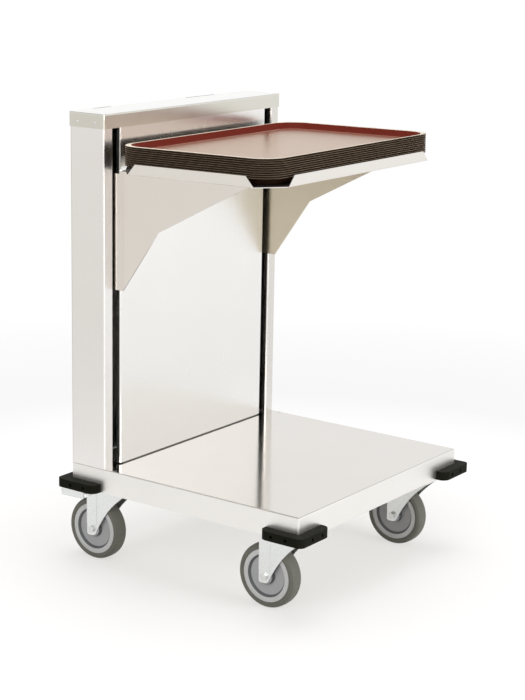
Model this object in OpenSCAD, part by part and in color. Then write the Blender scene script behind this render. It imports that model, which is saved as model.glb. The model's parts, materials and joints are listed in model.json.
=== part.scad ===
// Self-levelling tray dispenser cart.
// Millimetres, +Z up, floor at z = 0, the column at the rear (+Y), the trays in front of it (-Y).
// The origin is the centre of the outline on the floor.

/* [Base] */
// Width of the base and of the column
base_w = 562; // [520:1:620]
// Depth of the base, front to back
base_d = 543; // [520:1:620]
// Height of the folded sides of the base
base_side_h = 48.5; // [40:0.5:60]
// Thickness of the folded sheet metal
sheet = 1.5; // [1:0.1:2]
// Outer radius of its bends
bend_r = 3; // [2.2:0.1:4]

/* [Column] */
// Depth of the column, front to back
col_d = 83; // [80:1:100]
// Height of the column panels above the deck
col_h = 688; // [660:1:760]
// Height of the cap's side, top sheet included
cap_h = 28; // [20:1:40]
// Width of each slot that an arm runs in
slot_w = 21.5; // [18:0.5:26]
// Width of the side panel's front flange, outside the slot
slot_inset = 26.5; // [25:0.5:34]
// Depth of the return along the side panel's front flange
flange_return = 10; // [6:0.5:12]
// Depth of the returns along the front panel
panel_return = 9.5; // [6:0.5:10]
// Gap between the front panel and the deck
panel_gap = 2.25; // [1:0.25:5]

/* [Bumpers] */
// How far a bumper stands out from the base
bumper_t = 22; // [16:1:30]
// Length of a bumper's leg from its outer corner
bumper_leg = 95; // [85:1:120]
// Height of a bumper
bumper_h = 17.5; // [15:0.5:26]

/* [Casters] */
// Wheel diameter
wheel_d = 127; // [110:1:140]
// Width of the tyre
tyre_w = 32; // [26:1:34]
// How far the axle trails behind the swivel axis
caster_trail = 36; // [30:1:42]
// Swivel axis to the side of the base
caster_inset_side = 55; // [50:1:70]
// Swivel axis to the rear of the base
caster_inset_rear = 56; // [54:1:66]
// Swivel axis to the front of the base
caster_inset_front = 63; // [58:1:75]
// Free height between the tyre and the fork's crown
crown_gap = 16.7; // [15.5:0.1:22]
// Brake pedal's tip behind the axle
pedal_reach = 85; // [75:1:95]
// Angle that a brake pedal swings down to meet its tyre
brake_swing = 18; // [12:1:20]

/* [Arms] */
// Arm thickness
arm_t = 3; // [2.5:0.5:4]
// Arm's outer face to the outer edge of its slot
arm_gap = 4.5; // [3.5:0.5:7]
// How far the arms reach in front of the column
arm_reach = 322; // [280:1:350]
// Height of the arms, measured down from the platform
arm_drop = 235.5; // [215:0.5:260]
// Knee of the arm's lower edge, in front of the column
knee_out = 107; // [80:1:140]
// Knee of the arm's lower edge, below the platform
knee_drop = 113; // [90:1:140]
// Length of the arm's level bottom in front of the column
arm_foot = 21; // [12:1:40]
// Underside of the platform below the underside of the cap's top sheet
platform_drop = 99.5; // [98:0.5:120]
// How far the carriage rises when the trays are gone
travel_up = 60; // [50:1:60]
// How far the carriage sinks under a full load
travel_down = 340; // [250:1:340]

/* [Platform] */
// Gap between the platform and the column
platform_gap = 16.5; // [12:0.5:25]
// How far the platform rises towards its front, in degrees
platform_tilt = 1; // [0:0.25:2]
// Height of the lips
lip_h = 20.5; // [15:0.5:28]
// Cut corners, measured along the width
corner_x = 45; // [35:1:60]
// Cut corners, measured along the depth
corner_y = 43; // [35:1:60]
// How far the slanted ends of the lips lean in
lip_slant = 18.5; // [0:0.5:30]
// Gap between the trays and the side lips
tray_gap_side = 3; // [2:0.5:10]
// Gap between the trays and the front and rear lips
tray_gap_end = 8.5; // [4:0.5:15]

/* [Trays] */
// Tray length, side to side
tray_l = 559; // [500:1:580]
// Tray width, front to back
tray_w = 356; // [320:1:380]
// Corner radius of a tray's rim
tray_r = 46; // [30:1:60]
// Height of a tray
tray_h = 15; // [12:0.5:20]
// Thickness of a tray's wall
tray_t = 2.45; // [2:0.05:3]
// Width of the flat rim
tray_rim = 5; // [3:0.5:8]
// Number of trays
tray_n = 10; // [4:1:12]

/* [Springs and rollers] */
// Number of springs
spring_n = 6; // [2:2:8]
// Outer diameter of a spring
spring_d = 22; // [16:1:24]
// Spacing of the springs
spring_pitch = 44; // [30:1:48]
// Diameter of a guide roller
roller_d = 33.4; // [28:0.1:36]
// Width of a guide roller
roller_w = 13; // [10:0.5:14]

/* [Hidden] */
$fn = 96;

// Clearances that many pieces share
seat_gap = 0.3;
pin_fit = 0.05;
hole_fit = 0.1;
eps = 1;

// Casters, from the floor up to the mounting face under the base
wheel_r = wheel_d / 2;
crown_t = 4;
race_h = 2.5;
cup_h = 5.5;
plate_t = 4;
crown_z = wheel_d + crown_gap;
crown_top = crown_z + crown_t;
race_top = crown_top + race_h;
cup_z = race_top + seat_gap;
plate_z = cup_z + cup_h;
mount_z = plate_z + plate_t;
race_r = 30;
cup_r = 33;
king_r = 6;
king_head_r = 11;
king_head_h = 6;
plate_w = 67;
plate_l = 92;
bolt_dx = 45;
bolt_dy = 70;
bolt_r = 4;
nut_r = 7.5;
nut_h = 6.5;
bolt_head_h = 5.3;

// Fork, measured from the axle
leg_t = 2.5;
leg_gap = 1.5;
leg_in = tyre_w / 2 + leg_gap;
leg_out = leg_in + leg_t;
leg_rib = 0.7;
leg_rib_front = 12.7;
leg_rib_z = 11.5;
leg_back = 12.5;
leg_front = 78;
leg_arc_r = 220;
leg_corner_r = 5;
axle_r = 5;
axle_head_h = 5;

// Wheel
tyre_h = 12;
rim_band = 9.5;
rim_slope = 5;
rim_inset = 2;
disc_inset = 4;
core_r = wheel_r - tyre_h;
core_rim_r = core_r - rim_band;
disc_r = core_rim_r - rim_slope;
hub_r = 16;
rim_half = tyre_w / 2 - rim_inset;
disc_half = rim_half - disc_inset;
tyre_shoulder = 5;
tyre_bond = 0.1;
// Half of the wheel's section, from its middle plane out to one face, by radius and width
wheel_half = [
    [axle_r + pin_fit, leg_in - seat_gap], [hub_r, leg_in - seat_gap], [hub_r, disc_half],
    [disc_r, disc_half], [core_rim_r, rim_half], [core_r, rim_half]
];
wheel_other_half = [for (i = [len(wheel_half) - 1 : -1 : 0]) [wheel_half[i].x, -wheel_half[i].y]];

// Brake pedal, measured from its pin
pedal_pin_r = 3;
pedal_pin_back = 5;
pedal_pin_rise = 9;
pedal_barrel_r = 5.5;
pedal_tilt = 6;
pedal_t = 3;
pedal_lift = 1;
pedal_overlap = 2;
pedal_neck_gap = 0.5;
pedal_half = leg_out + pedal_overlap;
pedal_neck_half = leg_in - pedal_neck_gap;
pedal_pad_start = 16;
pedal_skirt_root = 13;
pedal_skirt_tip = 8;
pedal_skirt_t = 2.5;
pedal_corner_r = 10;
pedal_length = pedal_reach - pedal_pin_back;
pedal_grip_half = pedal_half - pedal_corner_r;
pedal_grip_end = pedal_length - pedal_corner_r;
pedal_grip_w = 1.6;
pedal_grip_h = 1;
pedal_grip_n = 5;
pedal_grip_pitch = 7;
shoe_w = 24;
shoe_l = 16;
shoe_start = 17;
shoe_drop = 9;
brake_gap = 0.4;

// Base
half_w = base_w / 2;
rear_overhang = max(bumper_t, caster_trail + pedal_reach - caster_inset_rear);
rear_y = (base_d + bumper_t - rear_overhang) / 2;
front_y = rear_y - base_d;
deck_z = mount_z + base_side_h;
caster_x = half_w - caster_inset_side;
caster_rear_y = rear_y - caster_inset_rear;
caster_front_y = front_y + caster_inset_front;
channel_t = 2.5;
channel_lip = caster_inset_rear - plate_l / 2 - bend_r;
channel_end_gap = 8;
deck_slot_ahead = 22.6;
deck_slot_in = 6;
deck_slot = [8, 3];

// Bumpers, measured from the outer corner
bumper_corner_r = 12;
bumper_end_r = 16;
bumper_hole_z = 8.5;
bumper_holes = [36, 68];
bumper_hole_r = 3.5;
bumper_seat = 8;
bumper_screw_r = 2;
bumper_head_r = 3.2;
bumper_head_h = 2.5;
bumper_screw_tail = 4;

// Column
col_y = rear_y - col_d;
under_cap = deck_z + col_h;
cap_top = under_cap + sheet;
slot_out = half_w - slot_inset;
slot_in = slot_out - slot_w;
rear_flange_w = slot_inset - sheet;
panel_top = under_cap - bend_r + sheet;
cover_y = rear_y - sheet;
screw_r = 2;
screw_head_r = 4;
screw_head_h = 2.4;
screw_tail = 5;
cover_screw_rows = 4;
cover_screw_end = 34;
rivet_r = 2.4;
rivet_head_r = 3.2;
rivet_head_h = 1.3;
rivet_drop = 18;
rivet_front = 21.4;
rivet_rear = 19;
cap_slot_w = 3.5;
cap_slot_back = 3.5;
cap_slots = [[-218, 50], [66, 95]];
cleat_leg = 30;
cleat_foot = 20;
cleat_end_gap = 8;

// Arms and carriage, at rest with the trays shown
arm_out = slot_out - arm_gap;
arm_in = arm_out - arm_t;
platform_z = under_cap - platform_drop;
arm_top_drop = 12;
arm_top = platform_z - arm_top_drop;
arm_bottom = platform_z - arm_drop;
arm_notch = 12;
arm_notch_y = col_y - arm_notch;
arm_tip_y = col_y - arm_reach;
shelf_w = 22;
shelf_tip_gap = 10;
mid_y = col_y + col_d / 2;
arm_tail = 17;
arm_back_y = mid_y + arm_tail;
pin_r = 5;
pin_end_gap = 20;
pin_z = [arm_bottom + pin_end_gap, arm_top - pin_end_gap];
roller_r = roller_d / 2;
roller_gap = 9;
roller_x = arm_out + roller_gap;
collar_r = 7;
pin_head_r = 7;
pin_head_h = 2;
bar_t = 6;
bar_h = 26;
bar_rise = 40;
bar_z = arm_bottom + bar_rise;
hook_r = 8;
hook_wire_r = 1.5;
hook_hole_r = 3.2;
brace_h = 30;
brace_d = 15;
brace_t = 2;
brace_drop = 45;
brace_z = arm_top - brace_drop;
brace_gap = 3;
brace_y = mid_y - spring_d / 2 - brace_gap - brace_d;

// Rails and the hanger over the springs
rail_t = 2;
rail_half = roller_r + seat_gap + rail_t;
rail_gap = 2;
rail_x = roller_x - rail_gap;
wall_x = half_w - sheet;
rail_z = deck_z + sheet;
stop_t = 6;
stop_r = 8;
hanger_t = 3;
hanger_z = arm_top + travel_up + seat_gap + stop_t;
hanger_half = 16;
hanger_over = 8;
hanger_reach = arm_in - hanger_over;
hang_z = hanger_z + hanger_t;

// Platform and trays
platform_w = tray_l + 2 * (tray_gap_side + sheet);
platform_d = tray_w + 2 * (tray_gap_end + sheet);
platform_y = col_y - platform_gap - platform_d / 2;
platform_front = platform_y - platform_d / 2;
stud_r = 3;
stud_nut_r = 5.5;
stud_nut_h = 5;
stud_n = 3;
stud_pitch = 110;
tray_gap = 0.31;
tray_pitch = (tray_t + tray_gap) * sqrt(2);
tray_floor = 2.5;
tray_z = platform_z + sheet + seat_gap;

// Height of the platform's underside, which the arms follow
function seat_z(y) = platform_z - tan(platform_tilt) * (y - platform_front);

// Mirrors a piece drawn on the right to the left side
module on_side(side) mirror([side < 0 ? 1 : 0, 0, 0]) children();

// A piece drawn at the rear right corner, sent to any corner of the base
module at_corner(side, end) on_side(side)
    translate([half_w, end > 0 ? rear_y : front_y, mount_z]) mirror([0, end < 0 ? 1 : 0, 0]) children();

// A piece drawn about a swivel axis on the floor, sent to its caster
module at_caster(side, end) on_side(side)
    translate([caster_x, end > 0 ? caster_rear_y : caster_front_y, 0]) children();

// A flat outline drawn in depth and height, given a thickness along the width
module across(x0, x1) translate([x0, 0, 0]) rotate([90, 0, 90]) linear_extrude(x1 - x0) children();

// A round pin along the width
module pin_x(r, x0, x1) translate([x0, 0, 0]) rotate([0, 90, 0]) cylinder(r = r, h = x1 - x0);

// A six-sided nut or bolt head along the width
module nut_x(r, x0, x1) translate([x0, 0, 0]) rotate([0, 90, 0]) cylinder(r = r, h = x1 - x0, $fn = 6);

// What a rounded corner removes, drawn from the centre of its arc
module corner_cut(r) difference() {
    square(r + eps);
    circle(r);
}

// Box from one corner to the opposite one
module box(lo, hi) translate(lo) cube(hi - lo);

// Flat rectangle with round corners, from one corner to the opposite one
module soft_square(lo, hi, r) difference() {
    translate(lo) square(hi - lo);
    for (x = [0, 1], y = [0, 1])
        translate([x ? hi.x - r : lo.x + r, y ? hi.y - r : lo.y + r])
            mirror([1 - x, 0]) mirror([0, 1 - y]) corner_cut(r);
}

// Box whose upright corners and upper edges are round
module soft_box(lo, hi, r) intersection() {
    translate([0, 0, lo.z]) linear_extrude(hi.z - lo.z) soft_square([lo.x, lo.y], [hi.x, hi.y], r);
    translate([0, hi.y, 0]) rotate([90, 0, 0]) linear_extrude(hi.y - lo.y)
        soft_square([lo.x, lo.z - 2 * r], [hi.x, hi.z], r);
    across(lo.x, hi.x) soft_square([lo.y, lo.z - 2 * r], [hi.y, hi.z], r);
}

// Sheet bent all the way round a rectangle
module bent_sheet(lo, hi) difference() {
    soft_square(lo, hi, bend_r);
    soft_square(lo + [sheet, sheet], hi - [sheet, sheet], bend_r - sheet);
}

// Whatever rides on the platform, leaning with it about its front edge
module tilted() translate([0, platform_front, platform_z]) rotate([-platform_tilt, 0, 0])
    translate([0, -platform_front, -platform_z]) children();

// Base

module bumper_hole_places() for (along = bumper_holes) {
    translate([bumper_t - along, bumper_t, bumper_hole_z]) children();
    translate([bumper_t, bumper_t - along, bumper_hole_z]) mirror([1, -1, 0]) children();
}

module bumper_screw_hole(r, depth0, depth1) translate([0, -depth0, 0]) rotate([90, 0, 0])
    cylinder(r = r, h = depth1 - depth0);

module all_corners() for (side = [-1, 1], end = [-1, 1]) at_corner(side, end) children();

module base_pan() color("silver") difference() {
    soft_box([-half_w, front_y, mount_z], [half_w, rear_y, deck_z], bend_r);
    soft_box([-wall_x, front_y + sheet, mount_z - eps], [wall_x, rear_y - sheet, deck_z - sheet],
        bend_r - sheet);
    all_corners() bumper_hole_places()
        bumper_screw_hole(bumper_screw_r + hole_fit, bumper_t - eps, bumper_t + sheet + eps);
    for (side = [-1, 1]) on_side(side)
        translate([half_w - deck_slot_in, col_y - deck_slot_ahead, deck_z])
            cube([deck_slot.x, deck_slot.y, 2 * sheet + eps], center = true);
}

module caster_bolt_places() for (dx = [-0.5, 0.5], dy = [-0.5, 0.5])
    translate([dx * bolt_dx, dy * bolt_dy, 0]) children();

module caster_channel(end) {
    y = end > 0 ? caster_rear_y : caster_front_y;
    half_x = wall_x - channel_end_gap;
    half_y = plate_l / 2;
    top = deck_z - sheet;
    color("silver") difference() {
        union() {
            box([-half_x, y - half_y, mount_z], [half_x, y + half_y, top]);
            box([-half_x, y - half_y - channel_lip, top - channel_t],
                [half_x, y + half_y + channel_lip, top]);
        }
        box([-half_x - eps, y - half_y + channel_t, mount_z + channel_t],
            [half_x + eps, y + half_y - channel_t, top + eps]);
        for (side = [-1, 1]) at_caster(side, end) caster_bolt_places()
            translate([0, 0, mount_z - eps]) cylinder(r = bolt_r + hole_fit, h = channel_t + 2 * eps);
    }
}

module bumper_outline() difference() {
    union() {
        translate([bumper_t - bumper_leg, 0]) square([bumper_leg, bumper_t]);
        translate([0, bumper_t - bumper_leg]) square([bumper_t, bumper_leg]);
    }
    translate([bumper_t - bumper_corner_r, bumper_t - bumper_corner_r]) corner_cut(bumper_corner_r);
    for (turn = [0, 1]) mirror([turn, -turn]) {
        translate([bumper_t - bumper_leg + bumper_end_r, bumper_t - bumper_end_r])
            mirror([1, 0]) corner_cut(bumper_end_r);
    }
}

module bumper(side, end) color("#26282a") at_corner(side, end) difference() {
    linear_extrude(bumper_h) bumper_outline();
    bumper_hole_places() {
        bumper_screw_hole(bumper_hole_r, -eps, bumper_t - bumper_seat);
        bumper_screw_hole(bumper_screw_r + hole_fit, 0, bumper_t + eps);
    }
}

module bumper_screws() color("gray") all_corners() bumper_hole_places() {
    bumper_screw_hole(bumper_head_r, bumper_t - bumper_seat - bumper_head_h, bumper_t - bumper_seat);
    bumper_screw_hole(bumper_screw_r, bumper_t - bumper_seat, bumper_t + sheet + bumper_screw_tail);
}

// Column

module side_panel(side) color("lightgray") on_side(side) difference() {
    union() {
        translate([0, 0, deck_z]) linear_extrude(panel_top - deck_z) difference() {
            bent_sheet([slot_out, col_y], [half_w, cover_y]);
            translate([slot_out - eps, col_y + flange_return])
                square([half_w - rear_flange_w - slot_out + eps, col_d]);
        }
        box([half_w - cleat_foot, col_y + 2 * bend_r, deck_z],
            [half_w - sheet / 2, cover_y - 2 * bend_r, deck_z + sheet]);
    }
    cover_screw_holes();
    rivet_holes();
}

module cover_screw_places() for (row = [0 : cover_screw_rows - 1])
    translate([half_w - rear_flange_w / 2, rear_y,
        deck_z + cover_screw_end + row * (col_h - cap_h - 2 * cover_screw_end) / (cover_screw_rows - 1)])
        rotate([90, 0, 0]) children();

module cover_screw_holes() cover_screw_places()
    translate([0, 0, -eps]) cylinder(r = screw_r + hole_fit, h = 2 * sheet + 2 * eps);

module rivet_places() for (y = [col_y + rivet_front, rear_y - rivet_rear])
    translate([half_w + sheet, y, cap_top - rivet_drop]) children();

module rivet_holes() rivet_places() pin_x(rivet_r + hole_fit, -2 * sheet - eps, eps);

module front_panel() color("whitesmoke") translate([0, 0, deck_z + panel_gap])
    linear_extrude(panel_top - deck_z - panel_gap) difference() {
        bent_sheet([-slot_in, col_y], [slot_in, col_y + 2 * panel_return]);
        translate([-half_w, col_y + panel_return]) square([base_w, 2 * panel_return]);
    }

// Angle that holds the front panel's upright sheet to the level sheet next to it
module cleat(level_z, up) color("silver") {
    half_x = slot_in - cleat_end_gap;
    y0 = col_y + sheet;
    z1 = level_z + up * cleat_leg;
    box([-half_x, y0, min(level_z, z1)], [half_x, y0 + sheet, max(level_z, z1)]);
    box([-half_x, y0, min(level_z, level_z + up * sheet)],
        [half_x, y0 + cleat_foot, max(level_z, level_z + up * sheet)]);
}

module rear_cover() color("silver") difference() {
    box([-wall_x, cover_y, deck_z], [wall_x, rear_y, panel_top]);
    for (side = [-1, 1]) on_side(side) cover_screw_holes();
}

module cover_screws() color("gray") for (side = [-1, 1]) on_side(side) cover_screw_places() {
    cylinder(r = screw_r, h = 2 * sheet + screw_tail);
    translate([0, 0, -screw_head_h]) cylinder(r1 = screw_head_r - 1, r2 = screw_head_r, h = screw_head_h);
}

module cap() color("lightgray") difference() {
    soft_box([-half_w - sheet, col_y - sheet, cap_top - cap_h], [half_w + sheet, rear_y + sheet, cap_top],
        bend_r);
    soft_box([-half_w, col_y, cap_top - cap_h - eps], [half_w, rear_y, under_cap], bend_r - sheet);
    for (slot = cap_slots)
        translate([slot[0], rear_y - cap_slot_back - cap_slot_w / 2, under_cap - eps])
            cube([slot[1], cap_slot_w, sheet + 2 * eps]);
    for (side = [-1, 1]) on_side(side) rivet_holes();
}

module cap_rivets() color("gray") for (side = [-1, 1]) on_side(side) rivet_places() {
    pin_x(rivet_r, -2 * sheet, 0);
    rotate([0, 90, 0]) cylinder(r1 = rivet_head_r, r2 = rivet_head_r - 1, h = rivet_head_h);
}

// Guides and springs inside the column

module guide_rail(side) color("silver") on_side(side) difference() {
    box([rail_x, mid_y - rail_half, rail_z], [wall_x, mid_y + rail_half, hanger_z]);
    box([rail_x - eps, mid_y - rail_half + rail_t, rail_z - eps],
        [wall_x - rail_t, mid_y + rail_half - rail_t, hanger_z + eps]);
}

module spring_places() for (i = [0 : spring_n - 1])
    translate([(i - (spring_n - 1) / 2) * spring_pitch, mid_y, 0]) children();

// Flat bar on edge with a hole for each spring's hook
module hook_bar(half_x, z, hole_z) difference() {
    box([-half_x, mid_y - bar_t / 2, z], [half_x, mid_y + bar_t / 2, z + bar_h]);
    spring_places() translate([0, 0, hole_z]) rotate([90, 0, 0])
        cylinder(r = hook_hole_r, h = bar_t + 2 * eps, center = true);
}

module spring_hanger() color("silver") {
    hook_bar(wall_x - hanger_t, hang_z, hang_z + hook_r);
    for (side = [-1, 1]) on_side(side) {
        box([hanger_reach, mid_y - hanger_half, hanger_z], [wall_x, mid_y + hanger_half, hang_z]);
        box([wall_x - hanger_t, mid_y - hanger_half, hanger_z],
            [wall_x, mid_y + hanger_half, hang_z + bar_h]);
    }
}

module stop(z, h) for (side = [-1, 1]) on_side(side)
    translate([(arm_in + arm_out) / 2, mid_y, z]) cylinder(r = stop_r, h = h);

module stops_upper() color("#202020") stop(hanger_z - stop_t, stop_t);

module stops_lower() color("#202020") stop(deck_z, arm_bottom - travel_down - seat_gap - deck_z);

// One end loop, standing across the bar that it hooks into
module spring_hook(z) translate([0, 0, z]) rotate([0, 90, 0])
    rotate_extrude() translate([hook_r, 0]) circle(hook_wire_r, $fn = 24);

module springs() color("dimgray") spring_places() {
    low = bar_z + bar_h;
    coil_h = hang_z - low - 2 * hook_r;
    coil_inner_r = spring_d / 2 - 2 * hook_wire_r;
    spring_hook(low);
    spring_hook(hang_z);
    translate([0, 0, low + hook_r]) difference() {
        cylinder(d = spring_d, h = coil_h);
        translate([0, 0, sheet]) cylinder(r = coil_inner_r, h = coil_h - 2 * sheet);
    }
}

// Carriage

module pin_places() for (z = pin_z) translate([0, mid_y, z]) children();

module arm(side) color("silver") on_side(side) difference() {
    union() {
        across(arm_in, arm_out) polygon([
            [arm_back_y, arm_bottom], [arm_back_y, arm_top], [arm_notch_y, arm_top],
            [arm_notch_y, seat_z(arm_notch_y)], [arm_tip_y, seat_z(arm_tip_y)],
            [col_y - knee_out, platform_z - knee_drop], [col_y - arm_foot, arm_bottom]
        ]);
        tilted() box([arm_in - shelf_w, arm_tip_y + shelf_tip_gap, platform_z - arm_t],
            [arm_out, arm_notch_y, platform_z]);
    }
    pin_places() pin_x(pin_r + pin_fit, arm_in - eps, arm_out + eps);
    stud_holes();
}

module stud_places() for (i = [0 : stud_n - 1])
    translate([arm_in - shelf_w / 2, platform_y + (i - (stud_n - 1) / 2) * stud_pitch, platform_z])
        children();

module stud_holes() tilted() stud_places() cylinder(r = stud_r + hole_fit, h = 3 * arm_t, center = true);

module arm_brace() color("silver") difference() {
    box([-arm_in, brace_y, brace_z], [arm_in, brace_y + brace_d, brace_z + brace_h]);
    box([-arm_in - eps, brace_y + brace_t, brace_z + brace_t],
        [arm_in + eps, brace_y + brace_d + eps, brace_z + brace_h - brace_t]);
}

module pull_bar() color("silver") hook_bar(arm_in, bar_z, bar_z + bar_h - hook_r);

module roller_pins() color("gray") for (side = [-1, 1]) on_side(side) pin_places() {
    pin_x(pin_r, arm_in, roller_x + roller_w + seat_gap);
    pin_x(collar_r, arm_out, roller_x - seat_gap);
    pin_x(pin_head_r, roller_x + roller_w + seat_gap, roller_x + roller_w + seat_gap + pin_head_h);
    nut_x(nut_r, arm_in - nut_h, arm_in);
}

module roller(side, z) color("ivory") on_side(side) translate([0, mid_y, z]) difference() {
    pin_x(roller_r, roller_x, roller_x + roller_w);
    pin_x(pin_r + pin_fit, roller_x - eps, roller_x + roller_w + eps);
}

// Upstanding edge of the platform, and what the bend under it removes
module lip(half, out, turn) rotate([0, 0, turn]) translate([0, 0, platform_z]) across(out - sheet, out)
    polygon([[-half, 0], [half, 0], [half - lip_slant, lip_h], [-half + lip_slant, lip_h]]);

module lip_bend(half, out, turn) rotate([0, 0, turn]) translate([0, half, platform_z]) rotate([90, 0, 0])
    linear_extrude(2 * half) translate([out - bend_r, bend_r]) mirror([0, 1]) corner_cut(bend_r);

module platform() color("silver") tilted() difference() {
    half_x = platform_w / 2;
    half_y = platform_d / 2;
    translate([0, platform_y, 0]) {
        translate([0, 0, platform_z]) linear_extrude(sheet) polygon([
            [half_x, half_y - corner_y], [half_x - corner_x, half_y],
            [corner_x - half_x, half_y], [-half_x, half_y - corner_y],
            [-half_x, corner_y - half_y], [corner_x - half_x, -half_y],
            [half_x - corner_x, -half_y], [half_x, corner_y - half_y]
        ]);
        for (turn = [0, 180]) {
            lip(half_y - corner_y, half_x, turn);
            lip(half_x - corner_x, half_y, turn + 90);
        }
    }
    translate([0, platform_y, 0]) for (turn = [0, 180]) {
        lip_bend(half_y, half_x, turn);
        lip_bend(half_x, half_y, turn + 90);
    }
    for (side = [-1, 1]) on_side(side) stud_places()
        cylinder(r = stud_r + hole_fit, h = 3 * arm_t, center = true);
}

module platform_studs() color("gray") for (side = [-1, 1]) on_side(side) tilted() stud_places() {
    translate([0, 0, -arm_t - stud_nut_h]) cylinder(r = stud_nut_r, h = stud_nut_h, $fn = 6);
    translate([0, 0, -arm_t]) cylinder(r = stud_r, h = arm_t + sheet);
}

// Trays

// Section of a tray from the centre of its corner out to the edge of its rim
module tray_section() {
    wall = tray_t * sqrt(2);
    inner = tray_r - tray_rim;
    rim_z = tray_h - tray_t;
    polygon([
        [0, 0], [inner + wall - tray_h, 0], [inner + wall - tray_t, rim_z], [tray_r, rim_z],
        [tray_r, tray_h], [inner, tray_h], [inner + tray_floor - tray_h, tray_floor], [0, tray_floor]
    ]);
}

module tray(level) tilted() translate([0, platform_y, tray_z + level * tray_pitch]) {
    dx = tray_l / 2 - tray_r;
    dy = tray_w / 2 - tray_r;
    box([-dx, -dy, 0], [dx, dy, tray_floor]);
    for (sx = [0, 1], sy = [0, 1]) mirror([sx, 0, 0]) mirror([0, sy, 0])
        translate([dx, dy, 0]) rotate_extrude(angle = 90) tray_section();
    for (turn = [0, 180]) rotate([0, 0, turn]) {
        translate([dx, dy, 0]) rotate([90, 0, 0]) linear_extrude(2 * dy) tray_section();
        rotate([0, 0, 90]) translate([dy, dx, 0]) rotate([90, 0, 0]) linear_extrude(2 * dx) tray_section();
    }
}

// The two trays whose rims stand higher than the floor of the top one are a node of their own
module tray_stack() color("#4a2a20") for (level = [0 : tray_n - 4]) tray(level);

module upper_trays() color("#4a2a20") for (level = [tray_n - 3, tray_n - 2]) tray(level);

module top_tray() color("#8a4a35") tray(tray_n - 1);

// Casters

module caster_plates() color("gainsboro") for (side = [-1, 1], end = [-1, 1]) at_caster(side, end) {
    difference() {
        translate([-plate_w / 2, -plate_l / 2, plate_z]) cube([plate_w, plate_l, plate_t]);
        caster_bolt_places() translate([0, 0, plate_z - eps])
            cylinder(r = bolt_r + hole_fit, h = plate_t + 2 * eps);
    }
    translate([0, 0, cup_z]) cylinder(r = cup_r, h = cup_h);
    translate([0, 0, crown_z - seat_gap]) cylinder(r = king_r, h = cup_z - crown_z + seat_gap);
    translate([0, 0, crown_z - seat_gap - king_head_h]) cylinder(r = king_head_r, h = king_head_h);
}

module caster_bolts() color("gray") for (side = [-1, 1], end = [-1, 1])
    at_caster(side, end) caster_bolt_places() {
        translate([0, 0, plate_z - bolt_head_h]) cylinder(r = nut_r, h = bolt_head_h, $fn = 6);
        translate([0, 0, plate_z]) cylinder(r = bolt_r, h = plate_t + channel_t + nut_h);
        translate([0, 0, mount_z + channel_t]) cylinder(r = nut_r, h = nut_h, $fn = 6);
    }

// Outline of a fork leg about the axle: its front edge is an arc that starts
// at the crown and runs out tangent to the round end, whose rear corner is squarer
module fork_leg_outline() {
    under = crown_z - wheel_r;
    top = crown_top - wheel_r;
    reach = leg_arc_r + leg_back;
    shoulder = norm([leg_front, under]);
    lean = acos((shoulder ^ 2 + reach ^ 2 - leg_arc_r ^ 2) / (2 * shoulder * reach));
    turn = atan2(under, -leg_front) + lean;
    toward = [cos(turn), sin(turn)];
    difference() {
        union() {
            polygon([
                leg_back * toward, [leg_back, 0], [leg_back, top], [-leg_front, top], [-leg_front, under]
            ]);
            circle(leg_back);
            translate([0, -leg_back]) square(leg_back);
        }
        translate([leg_back - leg_corner_r, leg_corner_r - leg_back]) mirror([0, 1]) corner_cut(leg_corner_r);
        translate(reach * toward) circle(leg_arc_r, $fn = 360);
    }
}

module at_axle() translate([0, caster_trail, wheel_r]) children();

module at_pedal_pin() translate([0, caster_trail + pedal_pin_back, wheel_d + pedal_pin_rise]) children();

module fork(side, end) color("gainsboro") at_caster(side, end) difference() {
    union() {
        for (s = [-1, 1]) on_side(s) at_axle() {
            across(leg_in, leg_out) fork_leg_outline();
            across(leg_out, leg_out + leg_rib) translate([-leg_rib_front, leg_rib_z])
                square([leg_rib_front + leg_back, crown_top - wheel_r - leg_rib_z]);
        }
        box([-leg_out, caster_trail - leg_front, crown_z], [leg_out, caster_trail + leg_back, crown_top]);
        translate([0, 0, crown_top]) cylinder(r = race_r, h = race_h);
    }
    translate([0, 0, crown_z - eps]) cylinder(r = king_r + pin_fit, h = crown_t + race_h + 2 * eps);
    at_axle() pin_x(axle_r + pin_fit, -leg_out - eps, leg_out + eps);
    if (end > 0) at_pedal_pin() pin_x(pedal_pin_r + pin_fit, -leg_out - 2 * eps, leg_out + 2 * eps);
}

module axle(side, end) color("gray") at_caster(side, end) at_axle() {
    pin_x(axle_r, -leg_out, leg_out);
    nut_x(nut_r, leg_out, leg_out + axle_head_h);
    nut_x(nut_r, -leg_out - nut_h, -leg_out);
}

module wheel(side, end) color("darkgray") at_caster(side, end) at_axle() rotate([0, 90, 0])
    rotate_extrude() polygon(concat(wheel_half, wheel_other_half));

module tyre(side, end) color("#5c5b50") at_caster(side, end) at_axle() rotate([0, 90, 0])
    rotate_extrude() difference() {
        translate([core_r + tyre_bond, -tyre_w / 2]) square([wheel_r - core_r - tyre_bond, tyre_w]);
        for (s = [0, 1]) mirror([0, s])
            translate([wheel_r - tyre_shoulder, tyre_w / 2 - tyre_shoulder]) corner_cut(tyre_shoulder);
    }

// Flat plan of the pedal, from its barrel to the tip
module pedal_plan() {
    translate([-pedal_neck_half, 0]) square([2 * pedal_neck_half, pedal_pad_start + eps]);
    difference() {
        translate([-pedal_half, pedal_pad_start]) square([2 * pedal_half, pedal_length - pedal_pad_start]);
        for (s = [0, 1]) mirror([s, 0])
            translate([pedal_half - pedal_corner_r, pedal_length - pedal_corner_r])
                corner_cut(pedal_corner_r);
    }
}

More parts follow.
